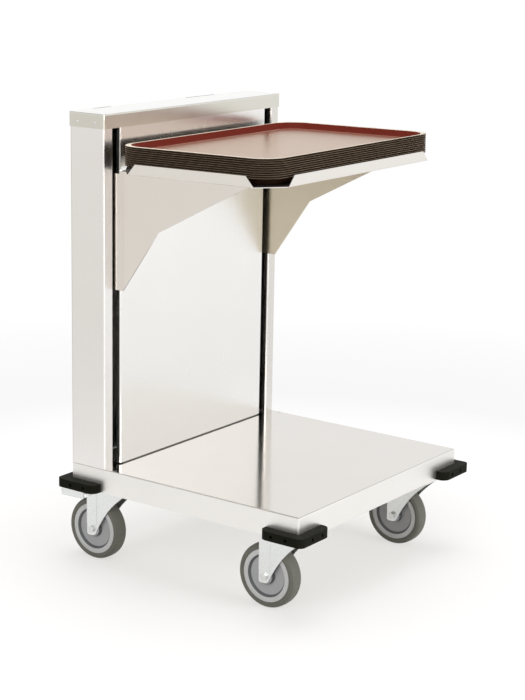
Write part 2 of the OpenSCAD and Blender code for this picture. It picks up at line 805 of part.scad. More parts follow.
module brake_pedal(side) color("gainsboro") at_caster(side, 1) at_pedal_pin() rotate([-pedal_tilt, 0, 0])
    difference() {
        union() {
            pin_x(pedal_barrel_r, -pedal_neck_half, pedal_neck_half);
            translate([0, 0, pedal_lift]) linear_extrude(pedal_t) pedal_plan();
            pedal_skirts();
            translate([-shoe_w / 2, shoe_start, pedal_lift - shoe_drop]) cube([shoe_w, shoe_l, shoe_drop]);
            for (i = [0 : pedal_grip_n - 1])
                translate([-pedal_grip_half, pedal_grip_end - i * pedal_grip_pitch, pedal_lift + pedal_t])
                    cube([2 * pedal_grip_half, pedal_grip_w, pedal_grip_h]);
        }
        pin_x(pedal_pin_r + pin_fit, -pedal_half, pedal_half);
        rotate([pedal_tilt + brake_swing, 0, 0]) translate([0, -pedal_pin_back, -wheel_r - pedal_pin_rise])
            pin_x(wheel_r + brake_gap, -leg_in, leg_in);
    }

// Edges turned down round the pedal, deeper towards the fork
module pedal_skirts() intersection() {
    translate([0, 0, pedal_lift - pedal_skirt_root]) linear_extrude(pedal_skirt_root) difference() {
        pedal_plan();
        translate([0, -eps]) square([2 * pedal_half + eps, 2 * pedal_pad_start + 2 * eps], center = true);
        pedal_inside();
    }
    across(-pedal_half, pedal_half) polygon([
        [pedal_pad_start, pedal_lift], [pedal_pad_start, pedal_lift - pedal_skirt_root],
        [pedal_length, pedal_lift - pedal_skirt_tip], [pedal_length, pedal_lift]
    ]);
}

// Space between the pedal's skirts
module pedal_inside() {
    reach = pedal_length - pedal_skirt_t;
    half = pedal_half - pedal_skirt_t;
    r = pedal_corner_r - pedal_skirt_t;
    difference() {
        translate([-half, 0]) square([2 * half, reach]);
        for (s = [0, 1]) mirror([s, 0]) translate([half - r, reach - r]) corner_cut(r);
    }
}

module brake_pin(side) color("gray") at_caster(side, 1) at_pedal_pin() {
    pin_x(pedal_pin_r, -leg_out - leg_rib, leg_out + leg_rib);
    for (s = [-1, 1]) on_side(s) pin_x(pedal_pin_r + 1, leg_out + leg_rib, leg_out + leg_rib + sheet);
}

base_pan();
caster_channel(-1);  // caster_channel_front
caster_channel(1);  // caster_channel_rear
side_panel(-1);  // side_panel_left
side_panel(1);  // side_panel_right
front_panel();
cleat(under_cap, -1);  // header
cleat(deck_z, 1);  // foot_cleat
rear_cover();
cover_screws();
cap();
cap_rivets();
guide_rail(-1);  // guide_rail_left
guide_rail(1);  // guide_rail_right
spring_hanger();
stops_upper();
stops_lower();
bumper(-1, -1);  // bumper_front_left
bumper(1, -1);  // bumper_front_right
bumper(-1, 1);  // bumper_rear_left
bumper(1, 1);  // bumper_rear_right
bumper_screws();
caster_plates();
caster_bolts();
arm(-1);  // arm_left
arm(1);  // arm_right
arm_brace();
pull_bar();
springs();
roller_pins();
platform();
platform_studs();
roller(-1, pin_z[1]);  // roller_upper_left
roller(1, pin_z[1]);  // roller_upper_right
roller(-1, pin_z[0]);  // roller_lower_left
roller(1, pin_z[0]);  // roller_lower_right
tray_stack();
upper_trays();
top_tray();
fork(-1, -1);  // fork_front_left
fork(1, -1);  // fork_front_right
fork(-1, 1);  // fork_rear_left
fork(1, 1);  // fork_rear_right
axle(-1, -1);  // axle_front_left
axle(1, -1);  // axle_front_right
axle(-1, 1);  // axle_rear_left
axle(1, 1);  // axle_rear_right
wheel(-1, -1);  // wheel_front_left
wheel(1, -1);  // wheel_front_right
wheel(-1, 1);  // wheel_rear_left
wheel(1, 1);  // wheel_rear_right
tyre(-1, -1);  // tyre_front_left
tyre(1, -1);  // tyre_front_right
tyre(-1, 1);  // tyre_rear_left
tyre(1, 1);  // tyre_rear_right
brake_pedal(-1);  // brake_pedal_left
brake_pedal(1);  // brake_pedal_right
brake_pin(-1);  // brake_pin_left
brake_pin(1);  // brake_pin_right
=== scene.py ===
import json
import math

import bmesh
import bpy
from mathutils import Matrix, Vector


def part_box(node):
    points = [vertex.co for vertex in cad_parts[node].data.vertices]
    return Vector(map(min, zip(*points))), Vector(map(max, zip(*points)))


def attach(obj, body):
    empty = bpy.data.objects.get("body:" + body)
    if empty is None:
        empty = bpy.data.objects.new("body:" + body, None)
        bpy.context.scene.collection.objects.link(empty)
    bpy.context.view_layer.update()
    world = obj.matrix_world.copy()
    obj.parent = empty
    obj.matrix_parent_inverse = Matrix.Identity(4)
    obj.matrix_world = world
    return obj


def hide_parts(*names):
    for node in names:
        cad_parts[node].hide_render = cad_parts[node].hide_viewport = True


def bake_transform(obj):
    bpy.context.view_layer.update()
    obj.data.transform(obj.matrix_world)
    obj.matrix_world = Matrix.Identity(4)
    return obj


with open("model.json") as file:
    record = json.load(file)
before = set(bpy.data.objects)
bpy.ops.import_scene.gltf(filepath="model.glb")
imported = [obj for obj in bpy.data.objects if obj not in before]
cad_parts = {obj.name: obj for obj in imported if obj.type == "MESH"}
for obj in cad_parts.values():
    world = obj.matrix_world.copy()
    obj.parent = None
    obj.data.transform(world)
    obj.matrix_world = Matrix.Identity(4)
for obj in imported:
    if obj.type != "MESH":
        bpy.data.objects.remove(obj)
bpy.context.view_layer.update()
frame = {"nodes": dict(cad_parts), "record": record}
scene = bpy.context.scene
MM = 0.001


# Node helpers

def new_material(name):
    """A node material, with its tree and its shader."""
    material = bpy.data.materials.new(name)
    material.use_nodes = True
    return material, material.node_tree, material.node_tree.nodes["Principled BSDF"]


def add(tree, kind, **inputs):
    """A node with some of its inputs set, whose names are given with underscores for spaces."""
    node = tree.nodes.new(kind)
    for key, value in inputs.items():
        node.inputs[key.replace("_", " ")].default_value = value
    return node


def object_space(tree, scale=(1, 1, 1)):
    """Object coordinates, stretched by scale."""
    coords = tree.nodes.new("ShaderNodeTexCoord")
    mapping = add(tree, "ShaderNodeMapping", Scale=scale)
    tree.links.new(coords.outputs["Object"], mapping.inputs["Vector"])
    return mapping.outputs["Vector"]


def noise(tree, vector, scale, detail, roughness):
    """A noise texture over the given coordinates."""
    texture = add(tree, "ShaderNodeTexNoise", Scale=scale, Detail=detail, Roughness=roughness)
    tree.links.new(vector, texture.inputs["Vector"])
    return texture.outputs["Fac"]


def remap(tree, value, low, high, start=0.0, end=1.0):
    """A value that goes from low to high as another goes from start to end."""
    node = add(tree, "ShaderNodeMapRange", From_Min=start, From_Max=end, To_Min=low, To_Max=high)
    tree.links.new(value, node.inputs["Value"])
    return node.outputs["Result"]


def combine(tree, operation, a, b):
    """Two values put together by a math node."""
    node = tree.nodes.new("ShaderNodeMath")
    node.operation = operation
    tree.links.new(a, node.inputs[0])
    tree.links.new(b, node.inputs[1])
    return node.outputs["Value"]


def colour_mix(tree, kind):
    """A node that mixes two colours by its factor."""
    node = tree.nodes.new("ShaderNodeMix")
    node.data_type = "RGBA"
    node.blend_type = kind
    return node


def blend_colours(tree, fac, dark, light):
    """A colour between two, by fac."""
    node = colour_mix(tree, "MIX")
    node.inputs["A"].default_value = (*dark, 1)
    node.inputs["B"].default_value = (*light, 1)
    tree.links.new(fac, node.inputs["Factor"])
    return node.outputs["Result"]


def rough_about(tree, value, rough, spread):
    """A roughness that a value moves between the two ends of spread about its middle."""
    return remap(tree, value, rough + spread[0], rough + spread[1])


def bump(tree, shader, height, strength, distance):
    """Bumps the shader's normal by height."""
    node = add(tree, "ShaderNodeBump", Strength=strength, Distance=distance)
    tree.links.new(height, node.inputs["Height"])
    tree.links.new(node.outputs["Normal"], shader.inputs["Normal"])


# Kinds of material

# How deep a bump of full strength is
FINE_RELIEF = 0.1 * MM
COARSE_RELIEF = 0.2 * MM
# The grain's scale on each axis, by the axis that it is brushed along
GRAIN = {"x": (6, 900, 900), "y": (900, 6, 900), "z": (900, 900, 6)}
# Each noise is given by its scale, detail and roughness
GRAIN_NOISE = (1.0, 2.0, 0.5)
CLOUD_NOISE = (5.0, 4.0, 0.55)
CLOUD_TONE = (0.1, 0.9)
SMUDGE_NOISE = (23.0, 5.0, 0.65)
SMUDGE_ROUGH = (-0.03, 0.05)
# A face passes from upright to level as the upward part of its normal goes from one to the other
LEVEL_FROM, LEVEL_TO = 0.5, 0.9


def steel(
    name, grain, dark, light, rough_low, rough_high,
    stretch=0.0, level=0.0, level_light_tint=None, relief=0.10
):
    """Brushed stainless sheet: a fine grain along one axis, with faint handling marks.

    Stretch draws reflections out sideways. Where a level tint is given, a level face has its colour
    multiplied by it, as painted light or shade on level faces, and loses the share level of its roughness.
    """
    material, tree, shader = new_material(name)
    fine = noise(tree, object_space(tree, GRAIN[grain]), *GRAIN_NOISE)
    cloud = noise(tree, object_space(tree), *CLOUD_NOISE)
    smudge = noise(tree, object_space(tree), *SMUDGE_NOISE)
    colour = blend_colours(tree, remap(tree, cloud, *CLOUD_TONE), dark, light)
    brushed = remap(tree, fine, rough_low, rough_high)
    finish = combine(tree, "ADD", brushed, remap(tree, smudge, *SMUDGE_ROUGH))
    if level_light_tint:
        facing = tree.nodes.new("ShaderNodeNewGeometry")
        split = tree.nodes.new("ShaderNodeSeparateXYZ")
        tree.links.new(facing.outputs["True Normal"], split.inputs["Vector"])
        height = split.outputs["Z"]
        share = remap(tree, height, 1.0, 1.0 - level, LEVEL_FROM, LEVEL_TO)
        finish = combine(tree, "MULTIPLY", finish, share)
        # Level faces made lighter or darker by the tint: painted light and shade by facing
        level_shading = colour_mix(tree, "MULTIPLY")
        level_shading.inputs["B"].default_value = (*level_light_tint, 1)
        tree.links.new(remap(tree, height, 0.0, 1.0, LEVEL_FROM, LEVEL_TO), level_shading.inputs["Factor"])
        tree.links.new(colour, level_shading.inputs["A"])
        colour = level_shading.outputs["Result"]
    tree.links.new(colour, shader.inputs["Base Color"])
    tree.links.new(finish, shader.inputs["Roughness"])
    shader.inputs["Metallic"].default_value = 1.0
    if stretch:
        tangent = tree.nodes.new("ShaderNodeTangent")
        tangent.direction_type = "RADIAL"
        tangent.axis = "Z"
        tree.links.new(tangent.outputs["Tangent"], shader.inputs["Tangent"])
        shader.inputs["Anisotropic"].default_value = stretch
    bump(tree, shader, fine, relief, FINE_RELIEF)
    return material


PLASTIC_NOISE = (30.0, 4.0, 0.6)
PLASTIC_ROUGH = (-0.06, 0.08)
GRIT_DETAIL, GRIT_ROUGHNESS = 2.0, 0.6


def plastic(name, dark, light, rough, specular=0.5, grit_scale=900.0, relief=0.15):
    """Moulded plastic or rubber: a fine texture, uneven sheen and a slight change of tone."""
    material, tree, shader = new_material(name)
    base = object_space(tree)
    tone = noise(tree, base, *PLASTIC_NOISE)
    grit = noise(tree, base, grit_scale, GRIT_DETAIL, GRIT_ROUGHNESS)
    tree.links.new(blend_colours(tree, tone, dark, light), shader.inputs["Base Color"])
    tree.links.new(rough_about(tree, tone, rough, PLASTIC_ROUGH), shader.inputs["Roughness"])
    shader.inputs["Specular IOR Level"].default_value = specular
    bump(tree, shader, grit, relief, COARSE_RELIEF)
    return material


ZINC_NOISE = (60.0, 4.0, 0.6)
ZINC_ROUGH = (-0.06, 0.1)
SPANGLE_NOISE = (350.0, 2.0, 0.5)
SPANGLE_RELIEF = 0.02


def zinc(name, dark, light, rough):
    """Bright zinc plating, with a faint spangle."""
    material, tree, shader = new_material(name)
    base = object_space(tree)
    cloud = noise(tree, base, *ZINC_NOISE)
    tree.links.new(blend_colours(tree, cloud, dark, light), shader.inputs["Base Color"])
    tree.links.new(rough_about(tree, cloud, rough, ZINC_ROUGH), shader.inputs["Roughness"])
    shader.inputs["Metallic"].default_value = 1.0
    bump(tree, shader, noise(tree, base, *SPANGLE_NOISE), SPANGLE_RELIEF, COARSE_RELIEF)
    return material


MOTTLED_NOISE = (45.0, 5.0, 0.65)
PRESSED_NOISE = (180.0, 3.0, 0.6)
PRESSED_ROUGH = (-0.04, 0.05)
PRESSED_RELIEF = 0.03
COAT_ROUGHNESS = 0.30
COAT_TINT = (1.0, 0.96, 0.75, 1)


def laminate(name, dark, light, rough, specular, coat):
    """Pressed tray laminate, under a clear warm coat where it is polished."""
    material, tree, shader = new_material(name)
    base = object_space(tree)
    mottled = noise(tree, base, *MOTTLED_NOISE)
    fine = noise(tree, base, *PRESSED_NOISE)
    tree.links.new(blend_colours(tree, mottled, dark, light), shader.inputs["Base Color"])
    tree.links.new(rough_about(tree, fine, rough, PRESSED_ROUGH), shader.inputs["Roughness"])
    shader.inputs["Specular IOR Level"].default_value = specular
    shader.inputs["Coat Weight"].default_value = coat
    shader.inputs["Coat Roughness"].default_value = COAT_ROUGHNESS
    shader.inputs["Coat Tint"].default_value = COAT_TINT
    bump(tree, shader, fine, PRESSED_RELIEF, FINE_RELIEF)
    return material


# Materials

# Its level faces are painted a little darker than its upright ones: painted shade
base_steel = steel(
    "base_steel", "x", (0.80, 0.78, 0.745), (0.86, 0.845, 0.815), 0.29, 0.37,
    level=0.66, level_light_tint=(0.91, 0.895, 0.885)
)
upright_steel = steel("upright_steel", "z", (0.81, 0.79, 0.765), (0.87, 0.85, 0.83), 0.24, 0.34)
# A darker, warmer copy of the upright steel for the far side panel: painted shade
shaded_upright_steel = steel("shaded_upright_steel", "z", (0.70, 0.675, 0.64), (0.77, 0.745, 0.71), 0.22, 0.30)
panel_steel = steel(
    "panel_steel", "z", (0.84, 0.825, 0.80), (0.89, 0.88, 0.86), 0.22, 0.27,
    stretch=0.75, relief=0.012
)
# Its upright faces are dark and its level top is painted much lighter: painted light and shade
cap_steel = steel(
    "cap_steel", "x", (0.67, 0.655, 0.59), (0.74, 0.725, 0.66), 0.17, 0.24,
    level_light_tint=(1.30, 1.33, 1.44), relief=0.04
)
arm_steel = steel("arm_steel", "y", (0.79, 0.74, 0.69), (0.86, 0.82, 0.785), 0.10, 0.14, relief=0.03)
# A darker, warmer copy of the arm steel for the far arm, whose inner face stands in the trays' shade: painted
# shade and painted warm reflection
shaded_arm_steel = steel("shaded_arm_steel", "y", (0.60, 0.535, 0.42), (0.66, 0.595, 0.475), 0.26, 0.36)
platform_steel = steel("platform_steel", "x", (0.77, 0.735, 0.685), (0.84, 0.81, 0.77), 0.24, 0.34)
channel_steel = steel("channel_steel", "x", (0.50, 0.48, 0.45), (0.58, 0.56, 0.53), 0.35, 0.45)
# Near-black steel for the tower's hidden insides and the arm brace: painted shade, so the inside shows dark
# through the slots
shaded_inner_steel = steel("shaded_inner_steel", "z", (0.13, 0.125, 0.12), (0.19, 0.18, 0.17), 0.40, 0.50)
bright_zinc = zinc("bright_zinc", (0.70, 0.715, 0.705), (0.79, 0.80, 0.795), 0.26)
bolt_zinc = zinc("bolt_zinc", (0.62, 0.62, 0.61), (0.74, 0.74, 0.73), 0.32)
spring_wire = zinc("spring_wire", (0.12, 0.12, 0.12), (0.20, 0.20, 0.19), 0.40)
bumper_plastic = plastic("bumper_plastic", (0.008, 0.008, 0.0055), (0.016, 0.016, 0.011), 0.50, 0.03)
tyre_rubber = plastic("tyre_rubber", (0.14, 0.138, 0.114), (0.185, 0.182, 0.154), 0.55, 0.3, 700.0, 0.25)
wheel_plastic = plastic("wheel_plastic", (0.44, 0.442, 0.45), (0.51, 0.512, 0.52), 0.38, 0.4)
# A paler copy of the wheel plastic for the raised rim: painted light
lit_wheel_rim = plastic("lit_wheel_rim", (0.64, 0.64, 0.64), (0.71, 0.71, 0.705), 0.34, 0.5)
# Dark plastic on the step inside the rim and round the hub's side: painted shade
wheel_painted_shade = plastic("wheel_painted_shade", (0.12, 0.125, 0.13), (0.17, 0.175, 0.18), 0.45, 0.3)
nylon = plastic("nylon", (0.62, 0.60, 0.53), (0.72, 0.70, 0.63), 0.45)
stop_rubber = plastic("stop_rubber", (0.010, 0.010, 0.010), (0.022, 0.022, 0.022), 0.60, 0.3)
tray_floor = laminate("tray_floor", (0.20, 0.050, 0.028), (0.24, 0.064, 0.036), 0.30, 0.5, 1.0)
tray_wall = laminate("tray_wall", (0.115, 0.012, 0.006), (0.15, 0.018, 0.009), 0.42, 0.03, 0.0)
# A pale cream for the rim's top: painted highlight where the rim catches the light
tray_rim = laminate("tray_rim", (0.66, 0.56, 0.43), (0.78, 0.68, 0.54), 0.30, 0.5, 0.0)
# Near-black laminate for the trays' outer sides and undersides: painted shade between the nested trays
tray_edge = laminate("tray_edge", (0.016, 0.007, 0.004), (0.026, 0.012, 0.007), 0.50, 0.03, 0.0)
# A tan line along the upper half of each tray's outer rounding: painted highlight on the nest's edges
tray_highlight_line = laminate("tray_highlight_line", (0.17, 0.115, 0.065), (0.24, 0.17, 0.10), 0.45, 0.10, 0.0)

MATERIAL_OF = {
    "base_pan": base_steel,
    "side_panel": upright_steel,
    "side_panel_right": shaded_upright_steel,
    "front_panel": panel_steel,
    "rear_cover": upright_steel,
    "cap_rivets": bolt_zinc,
    "cap": cap_steel,
    "arm_brace": shaded_inner_steel,
    "arm": arm_steel,
    "arm_right": shaded_arm_steel,
    "platform_studs": bolt_zinc,
    "platform": platform_steel,
    "bumper_screws": bolt_zinc,
    "bumper": bumper_plastic,
    "tyre": tyre_rubber,
    "wheel": wheel_plastic,
    "fork": bright_zinc,
    "caster_plates": bright_zinc,
    "caster_channel": channel_steel,
    "brake_pedal": bright_zinc,
    "brake_pin": bolt_zinc,
    "tray_stack": tray_edge,
    "upper_trays": tray_edge,
    "top_tray": tray_wall,
    "roller_pins": bolt_zinc,
    "roller": nylon,
    "springs": spring_wire,
    "stops": stop_rubber,
    "cover_screws": bolt_zinc,
    "caster_bolts": bolt_zinc,
    "axle": bolt_zinc,
}


def material_for(node):
    """The material of the longest name that the node's name starts with, or else the near-black steel of
    hidden sheet, painted dark as the shade inside the tower.
    """
    names = [key for key in MATERIAL_OF if node.startswith(key)]
    return MATERIAL_OF[max(names, key=len)] if names else shaded_inner_steel


# Nodes carried over from the solids

# How far the sharp edges of the nodes that have no bends are rounded, by the start of their names
EDGE_OF = {
    "arm": 0.5 * MM,
    "bumper": 1.6 * MM,
    "fork": 0.5 * MM,
    "caster_plates": 0.6 * MM,
    "brake_pedal": 0.5 * MM,
    "axle": 0.5 * MM,
}
# Nodes that stay sharp, though their names start like one of these
KEPT_SHARP = ("bumper_screws", "arm_brace")
WELD_WITHIN = 0.01 * MM
EDGE_STEPS = 3
SHARP_ANGLE = 35


def round_edges(obj, width):
    """Joins the split corners of a CAD mesh and rounds its sharp edges."""
    weld = obj.modifiers.new("weld", "WELD")
    weld.merge_threshold = WELD_WITHIN
    soft = obj.modifiers.new("soft edges", "BEVEL")
    soft.width = width
    soft.segments = EDGE_STEPS
    soft.limit_method = "ANGLE"
    soft.angle_limit = math.radians(SHARP_ANGLE)
    soft.harden_normals = False


for name, obj in frame["nodes"].items():
    obj.data.materials.clear()
    obj.data.materials.append(material_for(name))
    for key, width in EDGE_OF.items():
        if name.startswith(key) and name not in KEPT_SHARP:
            round_edges(obj, width)


# Mesh helpers

LATHE_STEPS = 96


def link_mesh(name, bm, materials, body, replaced):
    """Makes a smooth object of a bmesh, in place of the CAD nodes named in replaced.

    It rides on body, or on none yet where body is None.
    """
    mesh = bpy.data.meshes.new(name)
    bmesh.ops.recalc_face_normals(bm, faces=bm.faces[:])
    bm.to_mesh(mesh)
    bm.free()
    mesh.shade_smooth()
    for material in materials:
        mesh.materials.append(material)
    obj = bpy.data.objects.new(name, mesh)
    scene.collection.objects.link(obj)
    if body:
        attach(obj, body)
    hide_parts(*replaced)
    return obj


def soften(points, radii, steps):
    """An open outline with its corners rounded: one radius a point, 0 for a corner that stays."""
    out = []
    for i, (p, r) in enumerate(zip(points, radii)):
        if r == 0 or i in (0, len(points) - 1):
            out.append(Vector(p))
            continue
        here, before, after = Vector(p), Vector(points[i - 1]), Vector(points[i + 1])
        a = here + (before - here).normalized() * r
        b = here + (after - here).normalized() * r
        for k in range(steps + 1):
            t = k / steps
            out.append(a.lerp(here, t).lerp(here.lerp(b, t), t))
    return out


def join_rings(bm, here, there):
    """The band of faces between two rings of as many points."""
    count = len(here)
    following = [(k, (k + 1) % count) for k in range(count)]
    return [bm.faces.new((here[k], here[j], there[j], there[k])) for k, j in following]


def lathe(bm, profile, centre):
    """The faces of a closed profile of (radius, offset) turned about an axis along X through centre."""
    rings = []
    for k in range(LATHE_STEPS):
        a = 2 * math.pi * k / LATHE_STEPS
        y, z = math.cos(a), math.sin(a)
        rings.append([bm.verts.new(centre + Vector((x, r * y, r * z))) for r, x in profile])
    faces = []
    for k in range(LATHE_STEPS):
        faces += join_rings(bm, rings[k], rings[(k + 1) % LATHE_STEPS])
    return faces


# Trays

CORNER_STEPS = 14
FILLET_STEPS = 6
TRAY_HEIGHT = 15 * MM
TRAY_HALF_DEPTH = 178 * MM
TRAY_CORNER = 46 * MM
TRAY_RIM = 5 * MM
TRAY_WALL = 2.45 * MM
TRAY_FLOOR = 2.5 * MM
TRAY_FLOOR_FILLET = 5 * MM
TRAY_RIM_FILLET = 1.2 * MM
TRAY_EDGE_FILLET = 0.8 * MM
# How far the floor runs flat from the wall's foot before it is closed by one face
TRAY_FLOOR_BAND = 12 * MM
# How much wider the rim is across the tray's ends, and how much rounder its inner corners are
TRAY_END_RIM = 5 * MM
TRAY_CORNER_RIM = 8 * MM
# The slots of a tray's materials: the rim's and the edge line's slots hold painted highlight, the edge's slot
# painted shade
FLOOR, WALL, RIM, EDGE, LINE = range(5)


def rounded_rectangle(half_x, half_y, radius):
    """Points round a rectangle with rounded corners."""
    points = []
    for quarter, (sx, sy) in enumerate(((1, 1), (-1, 1), (-1, -1), (1, -1))):
        middle_x, middle_y = sx * (half_x - radius), sy * (half_y - radius)
        for k in range(CORNER_STEPS + 1):
            a = math.pi / 2 * (quarter + k / CORNER_STEPS)
            points.append((middle_x + radius * math.cos(a), middle_y + radius * math.sin(a)))
    return points


def tray_section():
    """Outline of a tray's wall, from the floor over the rim to the underside, as (inset, height).

    With it comes the material slot of each row of faces.
    """
    slope = TRAY_WALL * math.sqrt(2)
    under = TRAY_HEIGHT - TRAY_WALL
    reach = TRAY_RIM + TRAY_HEIGHT
    outermost = (0, TRAY_HEIGHT - TRAY_WALL / 2)
    upper = soften([
        (reach - TRAY_FLOOR + TRAY_FLOOR_BAND, TRAY_FLOOR), (reach - TRAY_FLOOR, TRAY_FLOOR),
        (TRAY_RIM, TRAY_HEIGHT), (0, TRAY_HEIGHT), outermost
    ], [0, TRAY_FLOOR_FILLET, TRAY_RIM_FILLET, TRAY_EDGE_FILLET, 0], FILLET_STEPS)
    lower = soften([
        outermost, (0, under), (TRAY_RIM - slope + TRAY_WALL, under),
        (reach - slope, 0), (reach - slope + TRAY_FLOOR_BAND, 0)
    ], [0, TRAY_EDGE_FILLET, TRAY_RIM_FILLET, TRAY_FLOOR_FILLET, 0], FILLET_STEPS)
    outline = upper + lower[1:]
    # The rim and the outer rounding's upper half get painted highlight, the rest of the outside painted shade
    half_fillet = FILLET_STEPS // 2
    wall_from = half_fillet + 1
    rim_from = 2 * FILLET_STEPS + 2 - half_fillet
    line_from = len(upper) - FILLET_STEPS
    edge_from = line_from + half_fillet
    slots = [FLOOR] * wall_from + [WALL] * (rim_from - wall_from) + [RIM] * (line_from - rim_from)
    slots += [LINE] * (edge_from - line_from) + [EDGE] * (len(outline) - 1 - edge_from)
    return outline, slots


def make_tray(name, place, half_x, body, node):
    """One pressed tray with a flared wall and a flat rim, its underside's middle sent to place."""
    section, slots = tray_section()
    bm = bmesh.new()
    rings = []
    for inset, z in section:
        wider = min(1.0, inset / (TRAY_RIM - TRAY_RIM_FILLET))
        end, corner = TRAY_END_RIM * wider, TRAY_CORNER_RIM * wider
        radius = TRAY_CORNER - inset + corner
        outline = rounded_rectangle(half_x - inset - end, TRAY_HALF_DEPTH - inset, radius)
        rings.append([bm.verts.new(place @ Vector((x, y, z))) for x, y in outline])
    for slot, here, there in zip(slots, rings, rings[1:]):
        for face in join_rings(bm, here, there):
            face.material_index = slot
    bm.faces.new(rings[0])
    bm.faces.new(rings[-1]).material_index = EDGE
    link_mesh(name, bm, [tray_floor, tray_wall, tray_rim, tray_edge, tray_highlight_line], body, [node])


def make_trays():
    """The nest of trays and the top one, square to the top tray's floor and at the pitch of the CAD boxes."""
    tray_lo, tray_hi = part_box("top_tray")
    upper_lo, upper_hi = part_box("upper_trays")
    stack_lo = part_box("tray_stack")[0]
    seat = next(mount for mount in frame["record"]["mounts"] if mount["name"] == "top_tray_floor")
    up = Vector(seat["axis"]).normalized()
    turn = Vector((0, 0, 1)).rotation_difference(up).to_matrix().to_4x4()
    top = Vector(seat["pos_m"]) - TRAY_FLOOR * up
    half_x = (tray_hi.x - tray_lo.x) / 2
    pitch = (tray_hi.z - upper_hi.z) / up.z
    nested = round((tray_lo.z - stack_lo.z) / up.z / pitch)
    upper = round((tray_lo.z - upper_lo.z) / up.z / pitch)
    for level in range(nested + 1):
        place = Matrix.Translation(top - (nested - level) * pitch * up) @ turn
        body = "tray_stack" if level < nested else "top_tray"
        node = "upper_trays" if nested - upper <= level < nested else body
        make_tray(f"tray_{level}", place, half_x, body, node)


# Wheels

TYRE_BOND = 0.1 * MM
TYRE_SHOULDER = 5 * MM
TYRE_CROWN = 0.6 * MM
TYRE_LIP = 1.6 * MM
TYRE_LIP_DROP = 0.3 * MM
TYRE_FILLETS = [0, 0.6 * MM, 1 * MM, 3.4 * MM, 4 * MM, 0]
TYRE_FILLET_STEPS = 7
WHEEL_BORE = 5.06 * MM
HUB_R = 16 * MM
HUB_BEVEL = 3 * MM
HUB_BEVEL_DROP = 1.2 * MM
# How near to the hub's radius the wheel is painted dark, as shade on the hub's side
HUB_RING = 1.5 * MM
# How far the disc and the rim lie inside the tyre's side, and how much shallower the disc's edge is
DISC_INSET = 8.2 * MM
DISC_RISE = 0.6 * MM
RIM_INSET = 2 * MM
# How wide the rim, painted pale as light, and the step inside it, painted dark as shade, are
RIM_BAND = 9.5 * MM
RIM_STEP = 3.8 * MM
RIM_BEVEL = 1.2 * MM
RIM_BEVEL_DROP = 0.5 * MM
WHEEL_FILLETS = [0, 0.3 * MM, 1 * MM, 1 * MM, 2 * MM, 1 * MM, 0.6 * MM, 0.5 * MM, 0.5 * MM, 0]
WHEEL_FILLET_STEPS = 4
# The slots of a wheel's materials: its own plastic, painted shade, and painted light on the rim
CENTRE, DARK, PALE = range(3)


def both_sides(side):
    """A closed section from the half of it that runs from the middle plane out to one face and back."""
    return [tuple(p) for p in side] + [(r, -x) for r, x in reversed(side[1:-1])]


def make_tyre(corner):
    """A rubber tyre with round shoulders, turned about the axle."""
    lo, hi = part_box(f"tyre_{corner}")
    wheel_lo, wheel_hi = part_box(f"wheel_{corner}")
    seat = (wheel_hi.z - wheel_lo.z) / 2 + TYRE_BOND
    radius, half = (hi.z - lo.z) / 2, (hi.x - lo.x) / 2
    side = soften([
        (seat, 0),
        (seat, half - RIM_INSET),
        (seat + TYRE_LIP, half - TYRE_LIP_DROP),
        (radius - TYRE_SHOULDER, half),
        (radius - TYRE_CROWN, half - TYRE_SHOULDER),
        (radius, 0)
    ], TYRE_FILLETS, TYRE_FILLET_STEPS)
    bm = bmesh.new()
    lathe(bm, both_sides(side), (lo + hi) / 2)
    link_mesh(f"tyre_{corner}_mesh", bm, [tyre_rubber], f"wheel_{corner}", [f"tyre_{corner}"])


def make_wheel(corner):
    """A moulded centre with a boss, a sunk disc, a step and a rim, turned about the axle; the step and the
    hub's side are painted dark as shade, the rim pale as light.
    """
    wheel = f"wheel_{corner}"
    lo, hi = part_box(wheel)
    tyre_lo, tyre_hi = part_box(f"tyre_{corner}")
    centre = (lo + hi) / 2
    seat, hub = (hi.z - lo.z) / 2, (hi.x - lo.x) / 2
    half = (tyre_hi.x - tyre_lo.x) / 2
    rim, face, disc = seat - RIM_BAND, half - RIM_INSET, half - DISC_INSET
    side = soften([
        (WHEEL_BORE, 0),
        (WHEEL_BORE, hub),
        (HUB_R - HUB_BEVEL, hub),
        (HUB_R, hub - HUB_BEVEL_DROP),
        (HUB_R, disc),
        (rim - RIM_STEP, disc + DISC_RISE),
        (rim, face - RIM_BEVEL_DROP),
        (rim + RIM_BEVEL, face),
        (seat, face),
        (seat, 0)
    ], WHEEL_FILLETS, WHEEL_FILLET_STEPS)
    bm = bmesh.new()
    for made in lathe(bm, both_sides(side), centre):
        middle = made.calc_center_median() - centre
        radius = math.hypot(middle.y, middle.z)
        # The step and a ring round the hub's side get painted shade, the rim painted light
        in_step = rim - RIM_STEP < radius < rim and abs(middle.x) > disc
        if in_step or HUB_R - HUB_RING < radius < HUB_R + HUB_RING:
            made.material_index = DARK
        elif radius >= rim:
            made.material_index = PALE
        else:
            made.material_index = CENTRE
    link_mesh(f"{wheel}_mesh", bm, [wheel_plastic, wheel_painted_shade, lit_wheel_rim], wheel, [wheel])


# Springs

SPRING_COUNT = 6
SPRING_PITCH = 44 * MM
WIRE_R = 1.5 * MM
WIRE_SIDES = 8
HOOK_R = 8 * MM
# Where the hook begins and how far apart its points are, in degrees
HOOK_FROM = 60
HOOK_STEP = 15
COIL_R = 9.5 * MM
COIL_TURNS = 37.5
TURN_STEPS = 20


